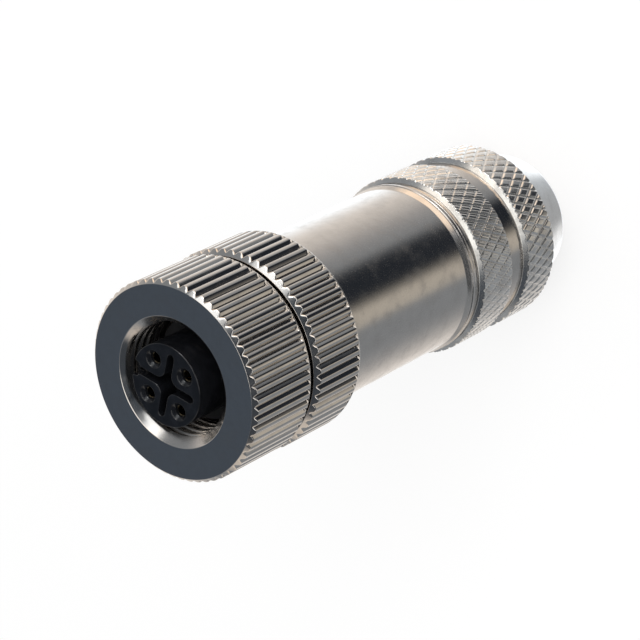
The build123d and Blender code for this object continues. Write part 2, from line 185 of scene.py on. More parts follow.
def ring_faces(rows: int, columns: int) -> Numbers:
    """Four-sided faces of a grid that closes on itself both ways.

    Args:
        rows: Points of the outline.
        columns: Points round the axis.

    Returns:
        Point numbers, one row a face.
    """
    row, column = np.meshgrid(np.arange(rows), np.arange(columns), indexing="ij")
    below = (row + 1) % rows * columns
    beside = (column + 1) % columns
    corners = (row * columns + column, row * columns + beside, below + beside, below + column)
    return np.stack([c.ravel() for c in corners], axis=1)


def turned_piece(name: str, path: Array, angle: Array, radius: Array) -> Piece:
    """A ring-shaped piece from a closed outline carried round the axis.

    Point (i, k) is (radius cos angle, radius sin angle, height). The height is the outline's,
    and the radius may differ from angle to angle, as on a knurl or a thread.

    Args:
        name: The piece's name.
        path: Radius and height of the outline, one row a point.
        angle: Angle of each column in radians.
        radius: Radius in millimetres, rows by columns.

    Returns:
        The closed piece.
    """
    height = np.broadcast_to(path[:, 1:], radius.shape)
    points = np.stack([radius * np.cos(angle), radius * np.sin(angle), height], axis=-1)
    return closed_mesh(name, points.reshape(-1, 3), ring_faces(*radius.shape))


def even_angles(columns: int) -> Array:
    """Angles of evenly spaced columns, in radians."""
    return np.arange(columns) * TURN / columns


def arc(centre: tuple[float, float], radius: float, start: float, end: float,
        points: int = 24) -> Array:
    """Points along a circle's arc in a level plane.

    Args:
        centre: Middle of the circle in millimetres.
        radius: Its radius.
        start: Angle of the first point in degrees.
        end: Angle of the last point, which may be less than the first.
        points: How many points.

    Returns:
        X and Y of each point, one row a point.
    """
    angle = np.radians(np.linspace(start, end, points))
    return np.array(centre) + radius * np.stack([np.cos(angle), np.sin(angle)], axis=1)


def full_circle(radius: float, points: int) -> Array:
    """Points all round the axis, anticlockwise, none of them twice."""
    return arc((0.0, 0.0), radius, 0.0, 360.0, points + 1)[:-1]


def both_sides(half: Array) -> Array:
    """One side of an outline, then its mirror image across the X axis on the way back."""
    return np.concatenate([half, (half * np.array([1.0, -1.0]))[-2::-1]])


def even_rim(points: Array, spacing: float, rounds: int) -> Array:
    """A closed outline with evenly spaced points and rounded corners.

    The points are placed anew along the length of the outline. After that each one becomes
    (before + 2 itself + after) / 4, as often as asked.

    Args:
        points: The outline's corners and arc points, anticlockwise.
        spacing: About how far apart the new points lie, in millimetres.
        rounds: How often they are averaged.

    Returns:
        X and Y of the new points, one row a point.
    """
    loop = np.concatenate([points, points[:1]])
    along = np.concatenate([[0.0], np.cumsum(np.linalg.norm(np.diff(loop, axis=0), axis=1))])
    place = np.linspace(0.0, along[-1], round(along[-1] / spacing), endpoint=False)
    rim = np.stack([np.interp(place, along, loop[:, k]) for k in range(2)], axis=1)
    for _ in range(rounds):
        rim = (np.roll(rim, 1, axis=0) + 2.0 * rim + np.roll(rim, -1, axis=0)) / 4.0
    return rim


def rounded_edge(start: float, size: float, high: float, steps: int = 4) -> Array:
    """Rows that round off the top edge of a block or a hole.

    After a guard row on the top face comes a quarter circle: the inset or radius is
    start + size (1 - sin a) and the height high - size (1 - cos a).

    Args:
        start: Inset or radius of the upright wall.
        size: Radius of the rounding.
        high: Height of the top face.
        steps: Pieces of the quarter circle.

    Returns:
        Inset or radius and height, one row a point, from the top face down.
    """
    bend = np.linspace(0.0, math.pi / 2, steps + 1)
    inset, drop = size * (1 - np.sin(bend)), size * (1 - np.cos(bend))
    guard = [(start + EDGE_GUARD * size, high)]
    return np.concatenate([guard, np.stack([start + inset, high - drop], axis=1)])


def cap_faces(loops: list[Array], holes: Array, numbers: Numbers) -> Numbers:
    """Triangles that fill a level face between a rim and the holes in it.

    The rims are joined up by a Delaunay net. A triangle stays where a line from its middle
    crosses the outer rim an odd number of times, and its middle lies in no hole.

    Args:
        loops: The rim, then the outline of each hole, as X and Y.
        holes: Centre X, centre Y and radius of each hole, one row a hole.
        numbers: Point number in the mesh of each point of the loops, in the same order.

    Returns:
        Point numbers, one row a triangle.
    """
    flat = np.concatenate(loops)
    starts = np.cumsum([0] + [len(loop) for loop in loops])
    edges = [
        (a + k, a + (k + 1) % (b - a))
        for a, b in zip(starts[:-1], starts[1:]) for k in range(b - a)
    ]
    spots = [Vector(p) for p in flat]
    corners, _, faces, origin, _, _ = delaunay_2d_cdt(spots, edges, [], 0, SAME_POINT)
    faces = np.array([face for face in faces if len(face) == 3])
    middle = np.array([tuple(p) for p in corners])[faces].mean(axis=1)
    rim = loops[0]
    following = np.roll(rim, -1, axis=0)
    above = (rim[:, 1] > middle[:, 1:]) != (following[:, 1] > middle[:, 1:])
    run = following - rim
    steep = np.where(np.abs(run[:, 1]) < LEVEL_RISE, LEVEL_RISE, run[:, 1])
    crossing = rim[:, 0] + (middle[:, 1:] - rim[:, 1]) * run[:, 0] / steep
    inside = (above & (middle[:, :1] < crossing)).sum(axis=1) % 2 == 1
    away = np.linalg.norm(middle[:, None, :] - holes[None, :, :2], axis=2)
    solid = inside & (away > IN_HOLE * holes[:, 2]).all(axis=1)
    first = np.array([same[0] for same in origin])
    return numbers[first[faces[solid]]]


def pierced_block(name: str, rim: Array, wall: Array, centres: Array, hole: Array,
                  columns: int = 48) -> Piece:
    """A closed upright block with any outline and round holes through it.

    Row k of the outer wall is the rim moved inwards by wall[k, 0] along its normal, at height
    wall[k, 1]. Row k of a hole is a circle of radius hole[k, 0] at height hole[k, 1].

    Args:
        name: The piece's name.
        rim: The outline, anticlockwise, as X and Y in millimetres.
        wall: Inset and height of each row from top to bottom.
        centres: Centre of each hole.
        hole: Radius and height of each row of a hole, from top to bottom.
        columns: Points round a hole.

    Returns:
        The block.
    """
    tangent = np.roll(rim, -1, axis=0) - np.roll(rim, 1, axis=0)
    inward = np.stack([-tangent[:, 1], tangent[:, 0]], axis=1)
    inward = inward / np.linalg.norm(inward, axis=1)[:, None]
    ring = full_circle(1.0, columns)
    grids = [rim[None] + wall[:, :1, None] * inward[None]]
    grids += [centre + hole[:, :1, None] * ring[None] for centre in centres]
    heights = [wall[:, 1]] + [hole[:, 1]] * len(centres)
    points, groups, tops, bottoms = [], [], [], []
    count = 0
    for grid, height in zip(grids, heights):
        rows, width = grid.shape[:2]
        level = np.repeat(height[:, None, None], width, axis=1)
        points.append(np.concatenate([grid, level], axis=2).reshape(-1, 3))
        number = count + np.arange(rows * width).reshape(rows, width)
        beside = np.roll(number, -1, axis=1)
        quads = np.stack([number[:-1], number[1:], beside[1:], beside[:-1]], axis=-1).reshape(-1, 4)
        groups.append(quads if not tops else quads[:, ::-1])
        tops.append(number[0])
        bottoms.append(number[-1])
        count += rows * width
    for row, ends, turn in ((0, tops, 1), (-1, bottoms, -1)):
        holes = np.column_stack([centres, np.full(len(centres), hole[row, 0])])
        cap = cap_faces([grid[row] for grid in grids], holes, np.concatenate(ends))
        groups.append(cap[:, ::turn])
    return closed_mesh(name, np.concatenate(points), *groups)


def soft_least(first: Array, second: Array | float, width: float) -> Array:
    """The lesser of two surfaces, rounded where they cross.

    With h = 1 - |first - second| / width where that is above 0, it lies width h^2 / 4 below
    the lesser one.

    Args:
        first: One surface.
        second: The other, or a level.
        width: How far apart the two may be and still bend the result.

    Returns:
        The rounded lesser of both.
    """
    near = np.clip(1.0 - np.abs(first - second) / width, 0.0, 1.0)
    return np.minimum(first, second) - width * near**2 / 4.0


@dataclass(frozen=True)
class Thread:
    """A right-hand screw thread on the wall of a turned piece.

    Attributes:
        crest: Radius of its crests in millimetres.
        depth: From crest to root, negative where the roots lie nearer the axis.
        low: Height at which the wall starts.
        high: Height at which it ends.
        margin: Length at both ends that stays uncut.
        reach: How far the outline may lie from the crests and still be cut.
        pitch: Height of a turn.
    """

    crest: float
    depth: float
    low: float
    high: float = math.inf
    margin: float = 0.02
    reach: float = 0.01
    pitch: float = 1.0

    def cut(self, path: Array, angle: Array, radius: Array) -> Array:
        """Cuts the thread into a surface, where it is deeper than that surface.

        The phase is height / pitch - angle / turn. The depth goes with half a cosine wave of
        it, less a sixth of a wave twice as fast, which widens the crests.

        Args:
            path: Radius and height of the turned outline, one row a point.
            angle: Column angles in radians.
            radius: The surface so far, rows by columns, or one column if it is round.

        Returns:
            The radius, rows by columns.
        """
        height = path[:, 1:]
        phase = TURN * (height / self.pitch - angle / TURN)
        ridge = (1.0 - np.cos(phase)) / 2.0 - (1.0 - np.cos(2.0 * phase)) / 12.0
        deeper = np.maximum if self.depth > 0.0 else np.minimum
        along = (height > self.low + self.margin) & (height < self.high - self.margin)
        near = np.abs(path[:, :1] - self.crest) < self.reach
        return np.where(along & near, deeper(radius, self.crest + self.depth * ridge), radius)


@dataclass(frozen=True)
class Knurl:
    """Straight V grooves round a rim, with narrow crests whose edges are rounded.

    Attributes:
        teeth: How many crests go round.
        depth: From crest to root, in millimetres.
        crest: Share of a tooth's width that would be level, were its edges sharp.
        rounding: How far below the crest its edges start to bend, as a share of the depth.
        blend: Width over which the grooves melt into the turned outline.
        runout: Length over which the grooves die away at the uncut rim.
        rim_length: Length of the uncut rim behind the teeth.
        rim_drop: How far the rim lies under the crests.
        land: Length of the last step before the front chamfer.
        uneven: How much neighbouring grooves differ in depth.
        beside: How far from a crest's edge a column lies on both sides, in teeth.
        flank: Where the columns of a flank lie, in teeth from the crest's middle.
        turn: Angle of the first crest in degrees.
        seed: Start of the random draws.
    """

    teeth: int = 60
    depth: float = 0.31
    crest: float = 0.32
    rounding: float = 0.3
    blend: float = 0.11
    runout: float = 0.03
    rim_length: float = 0.3
    rim_drop: float = 0.2
    land: float = 0.12
    uneven: float = 0.03
    beside: float = 0.06
    flank: tuple[float, float] = (0.3, 0.46)
    turn: float = -2.0
    seed: int = 7

    def angles(self) -> Array:
        """Column angles, closer together where a tooth bends.

        Returns:
            The angles in radians.
        """
        edge = self.crest / 2
        half = np.array([0.0, edge - self.beside, edge, edge + self.beside, *self.flank])
        share = np.concatenate([half, [0.5], 1.0 - half[:0:-1]])
        place = np.arange(self.teeth)[:, None] + share[None, :]
        return place.ravel() * TURN / self.teeth + math.radians(self.turn)

    def corners(self, tip: float, low: float, chamfer: float, cuts: int) -> list[Corner]:
        """The outline from the uncut rim's rear edge to the front chamfer.

        Args:
            tip: Radius over the crests in millimetres.
            low: Height of the rim's rear edge.
            chamfer: Height at which the front chamfer starts.
            cuts: Equal pieces of that chamfer.

        Returns:
            The corners in order.
        """
        back = low + self.rim_length
        return [
            Corner(tip - self.rim_drop, low, 0.09),
            Corner(tip - self.rim_drop, back),
            Corner(tip, back, 0.05, 9),
            Corner(tip, chamfer - self.land),
            Corner(tip, chamfer, 0.03, cuts),
        ]

    def cut(self, path: Array, angle: Array, tip: float, low: float) -> Array:
        """The surface with its grooves: the rounded lesser of outline and teeth.

        Across a tooth it rises from the root in a straight line, rounds off and stays level.
        Towards the rear rim the depth dies away as a quarter circle: sqrt(1 - (1 - x / runout)^2)
        of it is left at a distance x from the rim.

        Args:
            path: Radius and height of the turned outline, one row a point.
            angle: Column angles in radians.
            tip: Radius over the crests in millimetres.
            low: Height of the rim's rear edge.

        Returns:
            The radius, rows by columns.
        """
        draws = np.random.default_rng(self.seed)
        shift = draws.uniform(-self.uneven, self.uneven, self.teeth)
        place = (angle - math.radians(self.turn)) * self.teeth / TURN
        root = np.floor(place).astype(int) % self.teeth
        slope = np.abs(2.0 * np.mod(place, 1.0) - 1.0) / (1.0 - self.crest)
        ramp = soft_least(slope, 1.0, self.rounding)
        away = np.clip((path[:, 1] - low - self.rim_length) / self.runout, 0.0, 1.0)
        left = np.sqrt(1.0 - (1.0 - away) ** 2)
        toothed = tip - left[:, None] * ((self.depth + shift[root]) * (1.0 - ramp))[None, :]
        return soft_least(path[:, :1], toothed, self.blend)


class Graph:
    """A node tree with short ways to add and join nodes."""

    def __init__(self, tree: bpy.types.NodeTree) -> None:
        """Starts from an empty tree."""
        self.tree = tree
        tree.nodes.clear()

    def add(self, kind: str, inputs: Inputs | None = None, **settings: object) -> bpy.types.Node:
        """Adds a node and joins it to earlier ones.

        Args:
            kind: The node type without its ShaderNode prefix.
            inputs: Values or other nodes' outputs for its sockets, by name or number.
            **settings: Properties of the node itself.

        Returns:
            The new node.
        """
        node = self.tree.nodes.new("ShaderNode" + kind)
        for key, value in settings.items():
            setattr(node, key, value)
        for key, value in (inputs or {}).items():
            if isinstance(value, Socket):
                self.tree.links.new(value, node.inputs[key])
            else:
                node.inputs[key].default_value = value
        return node

    def maths(self, operation: str, first: Socket | float, second: Socket | float) -> Socket:
        """The result of a sum on two sockets or numbers."""
        return self.add("Math", {0: first, 1: second}, operation=operation).outputs[0]

    def noise(self, size: float, detail: float = 2.0, roughness: float = 0.5) -> Socket:
        """Even noise on the piece's own coordinates.

        Args:
            size: Width of a blotch in millimetres.
            detail: Number of finer layers.
            roughness: Share of the finer layers.

        Returns:
            The noise value, about 0 to 1.
        """
        place = self.add("TexCoord").outputs["Object"]
        scale = 1.0 / (size * MM)
        inputs = {"Vector": place, "Scale": scale, "Detail": detail, "Roughness": roughness}
        return self.add("TexNoise", inputs).outputs["Fac"]

    def spread(self, value: Socket, low: float, high: float,
               start: float = 0.0, end: float = 1.0) -> Socket:
        """Maps a value from start..end to low..high with eased ends."""
        inputs = {0: value, 1: start, 2: end, 3: low, 4: high}
        return self.add("MapRange", inputs, interpolation_type="SMOOTHSTEP").outputs[0]

    def blend(self, share: Socket, first: Colour, second: Colour) -> Socket:
        """A colour between two, by share."""
        inputs = {"Factor": share, 6: (*first, 1.0), 7: (*second, 1.0)}
        return self.add("Mix", inputs, data_type="RGBA").outputs[2]

    def bump(self, value: Socket, depth: float, under: Socket | None = None) -> Socket:
        """Raised relief.

        Args:
            value: Height, 0 to 1.
            depth: Full height in millimetres.
            under: An earlier relief that this one lies on.

        Returns:
            The bent normal.
        """
        inputs = {"Height": value, "Strength": 1.0, "Distance": depth * MM}
        if under is not None:
            inputs["Normal"] = under
        return self.add("Bump", inputs).outputs["Normal"]


@dataclass(frozen=True)
class Finish:
    """What every finish has: a name and the record's slot that it stands for."""

    name: str
    slot: Slot

    def surface(self, graph: Graph) -> Inputs:
        """Values and sockets for the surface shader."""
        raise NotImplementedError

    def material(self) -> bpy.types.Material:
        """The finish as a material, made once and then shared.

        Returns:
            The material.
        """
        known = bpy.data.materials.get(self.name)
        if known is not None:
            return known
        made = bpy.data.materials.new(self.name)
        made.use_nodes = True
        graph = Graph(made.node_tree)
        shader = graph.add("BsdfPrincipled", self.surface(graph))
        graph.add("OutputMaterial", {"Surface": shader.outputs[0]})
        return made


@dataclass(frozen=True)
class PlatedMetal(Finish):
    """Bright or satin plating over turned metal.

    Attributes:
        tint: Colour of the reflection face on.
        shade: Colour of slightly tarnished spots.
        gloss: Roughness of the cleanest and dullest spots.
        grain: Width of the fine plating grain in millimetres.
        grain_depth: Height of that grain in millimetres.
        swell: Width of the slow unevenness in millimetres.
        swell_depth: Height of that unevenness in millimetres.
        worn: Swell noise at which a worn blotch starts and is full.
        wear: How dull a worn blotch gets, as a share.
        specks: Grain noise at which a dull speck starts and is full.
    """

    tint: Colour = (0.67, 0.63, 0.59)
    shade: Colour = (0.52, 0.49, 0.46)
    gloss: tuple[float, float] = (0.16, 0.30)
    grain: float = 0.09
    grain_depth: float = 0.0012
    swell: float = 1.6
    swell_depth: float = 0.004
    worn: tuple[float, float] = (0.35, 0.75)
    wear: float = 0.6
    specks: tuple[float, float] = (0.5975, 0.78)

    def surface(self, graph: Graph) -> Inputs:
        """Tint and roughness vary with blotches, and two layers of relief bend the normal.

        Args:
            graph: The material's nodes.

        Returns:
            Values and sockets for the surface shader.
        """
        blotch = graph.noise(self.swell, detail=4.0, roughness=0.6)
        fine = graph.noise(self.grain, detail=3.0, roughness=0.65)
        speck = graph.spread(fine, 0.0, 1.0, *self.specks)
        dull = graph.maths("MAXIMUM", graph.spread(blotch, 0.0, self.wear, *self.worn), speck)
        slow = graph.bump(blotch, self.swell_depth)
        return {
            "Base Color": graph.blend(dull, self.tint, self.shade),
            "Roughness": graph.spread(dull, *self.gloss),
            "Metallic": 1.0,
            "Normal": graph.bump(fine, self.grain_depth, slow),
        }


@dataclass(frozen=True)
class Moulded(Finish):
    """Moulded plastic or rubber with a fine eroded skin.

    Attributes:
        tone: Main colour.
        pale: Colour of rubbed spots.
        gloss: Roughness of the shiniest and dullest spots.
        spots: Width of the rubbed spots in millimetres.
        rubbed: Spot noise at which the colour starts to pale and is pale.
        dulled: Spot noise at which the skin starts to dull and is dullest.
        skin: Width of the skin's grain in millimetres.
        skin_depth: Height of the skin's grain in millimetres.
        shine: Specular level.
    """

    tone: Colour = (0.006, 0.0065, 0.008)
    pale: Colour = (0.011, 0.012, 0.015)
    gloss: tuple[float, float] = (0.08, 0.14)
    spots: float = 1.1
    rubbed: tuple[float, float] = (0.35, 0.8)
    dulled: tuple[float, float] = (0.3, 0.7)
    skin: float = 0.12
    skin_depth: float = 0.0006
    shine: float = 0.5

    def surface(self, graph: Graph) -> Inputs:
        """Rubbed spots over a fine skin.

        Args:
            graph: The material's nodes.

        Returns:
            Values and sockets for the surface shader.
        """
        spot = graph.noise(self.spots, detail=3.0)
        pale = graph.spread(spot, 0.0, 1.0, *self.rubbed)
        return {
            "Base Color": graph.blend(pale, self.tone, self.pale),
            "Roughness": graph.spread(spot, *self.gloss, *self.dulled),
            "Specular IOR Level": self.shine,
            "Normal": graph.bump(graph.noise(self.skin), self.skin_depth),
        }


NICKEL_KNURL = PlatedMetal(
    "nickel_knurl", Slot.KNURLED_NICKEL, shade=(0.57, 0.535, 0.50), gloss=(0.13, 0.26),
    grain_depth=0.0006, swell_depth=0.0025, specks=(0.61, 0.78)
)
# Nickel of the diamond bands: rougher than the turned nickel, with its tint raised above it as
# painted light over the whole bands.
NICKEL_ROLLED_PAINTED_LIGHT = PlatedMetal(
    "nickel_rolled_painted_light", Slot.KNURLED_NICKEL, tint=(0.80, 0.78, 0.75), gloss=(0.2, 0.34),
    grain_depth=0.0008, swell_depth=0.0025
)
NICKEL_SATIN = PlatedMetal(
    "nickel_satin", Slot.SATIN_NICKEL, gloss=(0.17, 0.32), grain=0.11, grain_depth=0.0016,
    specks=(0.51, 0.78)
)
# Gold of the contacts, its tint darkened below bright gold as painted shade for their place deep in
# the holes.
CONTACT_GOLD_SHADED = PlatedMetal(
    "contact_gold_shaded", Slot.GOLD_CONTACT, tint=(0.66, 0.52, 0.32), shade=(0.50, 0.37, 0.20),
    gloss=(0.12, 0.22)
)
TURNED_BRASS = PlatedMetal(
    "brass_turned", Slot.BARE_BRASS, tint=(0.78, 0.64, 0.36), shade=(0.60, 0.47, 0.25),
    gloss=(0.22, 0.36)
)
SPRING_STEEL = PlatedMetal(
    "steel_spring", Slot.SPRING_STEEL, tint=(0.56, 0.56, 0.57), shade=(0.44, 0.44, 0.46),
    gloss=(0.24, 0.38)
)
SCREW_ZINC = PlatedMetal(
    "steel_zinc", Slot.SCREW_STEEL, tint=(0.72, 0.73, 0.75), shade=(0.58, 0.59, 0.61),
    gloss=(0.2, 0.32)
)
INSULATOR = Moulded("insulator_black", Slot.BLACK_INSULATOR)
RUBBER = Moulded(
    "rubber_black", Slot.BLACK_RUBBER, tone=(0.016, 0.016, 0.017), pale=(0.028, 0.028, 0.029),
    gloss=(0.5, 0.68), shine=0.3
)
CAGE_NYLON = Moulded(
    "cage_nylon", Slot.CAGE_PLASTIC, tone=(0.055, 0.056, 0.060), pale=(0.080, 0.081, 0.085),
    gloss=(0.4, 0.58)
)


def dress(piece: Piece, finish: Finish) -> None:
    """Gives a piece one finish all over."""
    piece.data.materials.clear()
    piece.data.materials.append(finish.material())


def fit_piece(piece: Piece, body: str, finish: Finish, node: str | None = None) -> None:
    """Dresses a new piece and hands it to its body, in the place of a CAD node if it has one.

    Args:
        piece: The new piece, at the origin.
        body: The body that it rides on.
        finish: Its finish, which also names its slot.
        node: The CAD node that it replaces, or None.
    """
    dress(piece, finish)
    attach(piece, body)
    if node is not None:
        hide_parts(node)
    log.info("%s: %d faces on %s", piece.name, len(piece.data.polygons), body)


@dataclass
class CouplingNut:
    """The front nut: straight knurl, flat face, countersunk M12 x 1 mouth, clip groove."""

    knurl: Knurl = field(default_factory=lambda: Knurl(seed=11))
    face_chamfer: float = 0.45
    chamfer_cuts: int = 11
    mouth_radius: float = 6.4
    thread_radius: float = 5.5
    thread_depth: float = 0.32
    thread_cuts: int = 62
    flange_length: float = 1.3
    flange_bore: float = 5.5
    groove_radius: float = 6.1
    groove_length: float = 0.65

    def build(self) -> None:
        """Makes the nut, with its thread also cut into the countersunk mouth."""
        low, high = node_span("coupling_nut")
        tip = node_radius("coupling_nut")
        countersink = self.mouth_radius - self.thread_radius
        groove = low + self.flange_length
        thread_start = groove + self.groove_length
        chamfer = high - self.face_chamfer
        path = outline(self.knurl.corners(tip, low, chamfer, self.chamfer_cuts) + [
            Corner(tip - self.face_chamfer, high, 0.02, 4),
            Corner(self.mouth_radius, high, 0.06, 4),
            Corner(self.thread_radius, high - countersink, cuts=self.thread_cuts),
            Corner(self.thread_radius, thread_start),
            Corner(self.groove_radius, thread_start),
            Corner(self.groove_radius, groove),
            Corner(self.flange_bore, groove),
            Corner(self.flange_bore, low, 0.08, 2),
        ])
        angle = self.knurl.angles()
        knurled = self.knurl.cut(path, angle, tip, low)
        thread = Thread(self.thread_radius, self.thread_depth, thread_start, reach=countersink)
        piece = turned_piece("coupling_nut_cut", path, angle, thread.cut(path, angle, knurled))
        fit_piece(piece, "nut", NICKEL_KNURL, "coupling_nut")


@dataclass
class CarrierHead:
    """The carrier: knurled ring with its front chamfer, seat, grooved neck and bores."""

    knurl: Knurl = field(default_factory=lambda: Knurl(turn=-2.3, seed=23))
    ring_length: float = 6.6
    chamfer: float = 0.53
    chamfer_cuts: int = 13
    seat_height: float = 0.6
    seat_radius: float = 7.0
    neck_radius: float = 5.45
    neck_bore: float = 4.5
    groove_depth: float = 0.35
    groove_start: float = 1.9
    groove_length: float = 1.2
    lip_radius: float = 5.35
    thread_radius: float = 8.3
    thread_depth: float = 0.4
    thread_cuts: int = 40
    thread_lead: float = 0.2
    web_height: float = 5.2
    flange_seat_radius: float = 6.13
    flange_seat_length: float = 1.0

    def build(self) -> None:
        """Makes the carrier, with a thread in its rear bore."""
        low, high = node_span("carrier_head")
        tip = node_radius("carrier_head")
        front = low + self.ring_length
        seat = front + self.seat_height
        groove = front + self.groove_start
        lip = groove + self.groove_length
        web = low + self.web_height
        flange = web + self.flange_seat_length
        groove_radius = self.neck_radius - self.groove_depth
        path = outline(self.knurl.corners(tip, low, front - self.chamfer, self.chamfer_cuts) + [
            Corner(tip - self.chamfer, front, 0.04, 2),
            Corner(self.seat_radius, front),
            Corner(self.seat_radius, seat, 0.03),
            Corner(self.neck_radius, seat),
            Corner(self.neck_radius, groove),
            Corner(groove_radius, groove),
            Corner(groove_radius, lip),
            Corner(self.lip_radius, lip),
            Corner(self.lip_radius, high, 0.08),
            Corner(self.neck_bore, high, 0.05, 3),
            Corner(self.neck_bore, flange),
            Corner(self.flange_seat_radius, flange),
            Corner(self.flange_seat_radius, web),
            Corner(self.thread_radius, web, cuts=self.thread_cuts),
            Corner(self.thread_radius, low, 0.06),
        ])
        angle = self.knurl.angles()
        knurled = self.knurl.cut(path, angle, tip, low)
        thread = Thread(self.thread_radius, self.thread_depth, low, margin=self.thread_lead)
        piece = turned_piece("carrier_head_cut", path, angle, thread.cut(path, angle, knurled))
        fit_piece(piece, "head", NICKEL_KNURL, "carrier_head")


@dataclass
class ContactInsert:
    """The moulded insulator: keyed face, contact holes, cross-shaped recess, and its foot."""

    face_radius: float = 4.05
    keyway_width: float = 1.5
    keyway_depth: float = 0.7
    arm_width: float = 0.78
    arm_reach: float = 3.3
    corner_radius: float = 0.9
    recess_depth: float = 2.2
    recess_overlap: float = 0.02
    edge: float = 0.08
    face_spacing: float = 0.05
    face_rounds: int = 24
    recess_spacing: float = 0.08
    recess_rounds: int = 4
    hole_circle: float = 2.65
    hole_radius: float = 0.56
    lead_in: float = 0.3
    lead_guard: float = 0.02
    bore_guard: float = 0.05
    lip: float = 0.07
    chamber_radius: float = 0.88
    setback: float = 0.6
    base_radius: float = 4.47
    base_length: float = 3.9
    flange_radius: float = 6.1
    flange_length: float = 1.0
    flange_columns: int = 96
    poles: int = 4

    def holes(self) -> Array:
        """Centres of the contact holes."""
        angle = TURN * (np.arange(self.poles) + 0.5) / self.poles
        return self.hole_circle * np.stack([np.cos(angle), np.sin(angle)], axis=1)

    def recess_side(self) -> Array:
        """Half of the recess's outline, clockwise from the keyway's floor to the arm opposite.

        The cross has four arms with round ends and an arc of corner_radius where two arms meet.
        Its first arm has no end of its own, as it runs out into the keyway.

        Returns:
            X and Y of each point, one row a point.
        """
        arm = self.arm_width / 2
        meet = arm + self.corner_radius
        end = self.arm_reach - arm
        return np.concatenate([
            [(self.face_radius - self.keyway_depth, -arm)],
            arc((meet, -meet), self.corner_radius, 90.0, 180.0),
            arc((0.0, -end), arm, 0.0, -180.0),
            arc((-meet, -meet), self.corner_radius, 0.0, 90.0),
            arc((-end, 0.0), arm, -90.0, -180.0, points=12),
        ])

    def face_rim(self) -> Array:
        """The face's outline: the circle, the keyway, and the recess that it opens into.

        Returns:
            X and Y of each point, one row a point.
        """
        key = self.keyway_width / 2
        opening = math.degrees(math.asin(key / self.face_radius))
        circle = arc((0.0, 0.0), self.face_radius, opening, 360.0 - opening, points=180)
        keyway = [(self.face_radius - self.keyway_depth, -key)]
        inner = both_sides(np.concatenate([keyway, self.recess_side()]))
        return even_rim(np.concatenate([circle, inner]), self.face_spacing, self.face_rounds)

    def recess_rim(self) -> Array:
        """The recess's outline, anticlockwise."""
        inner = both_sides(self.recess_side())
        return even_rim(inner[::-1], self.recess_spacing, self.recess_rounds)

    def hole_rows(self, high: float, base: float) -> Array:
        """A contact hole from the face down: lip, lead-in cone, bore, and the wider chamber.

        Args:
            high: Height of the face.
            base: Height at which the face block ends.

        Returns:
            Radius and height, one row a point.
        """
        mouth = self.hole_radius + self.lead_in
        cone_end, bore_end = high - self.lead_in, high - self.setback
        return np.concatenate([rounded_edge(mouth, self.lip, high), [
            (mouth - self.lead_guard, high - self.lip - self.lead_guard),
            (self.hole_radius + self.lead_guard, cone_end),
            (self.hole_radius, cone_end - self.bore_guard),
            (self.hole_radius, bore_end),
            (self.chamber_radius, bore_end),
            (self.chamber_radius, base),
        ]])

    def build(self) -> None:
        """Makes the face block with rounded edges, the floor of its recess, and the foot."""
        low, high = node_span("contact_insert")
        flange = low + self.flange_length
        base = flange + self.base_length
        holes = self.holes()
        upright = [(0.0, high - EDGE_GUARD * self.edge), (0.0, base)]
        wall = np.concatenate([rounded_edge(0.0, self.edge, high), upright])
        rows = self.hole_rows(high, base)
        face = pierced_block("insert_face", self.face_rim(), wall, holes, rows)
        fit_piece(face, "head", INSULATOR, "contact_insert")
        sunk, none = -self.recess_overlap, np.empty((0, 2))
        rows = np.array([(sunk, high - self.recess_depth), (sunk, base)])
        floor = pierced_block("insert_recess_floor", self.recess_rim(), rows, none, rows)
        fit_piece(floor, "head", INSULATOR)
        neck = self.flange_radius - self.base_radius
        steps = np.array([(neck, base), (neck, flange), (0.0, flange), (0.0, low)])
        rim = full_circle(self.flange_radius, self.flange_columns)
        chamber = np.array([(self.chamber_radius, base), (self.chamber_radius, low)])
        foot = pierced_block("insert_foot", rim, steps, holes, chamber)
        fit_piece(foot, "head", INSULATOR)


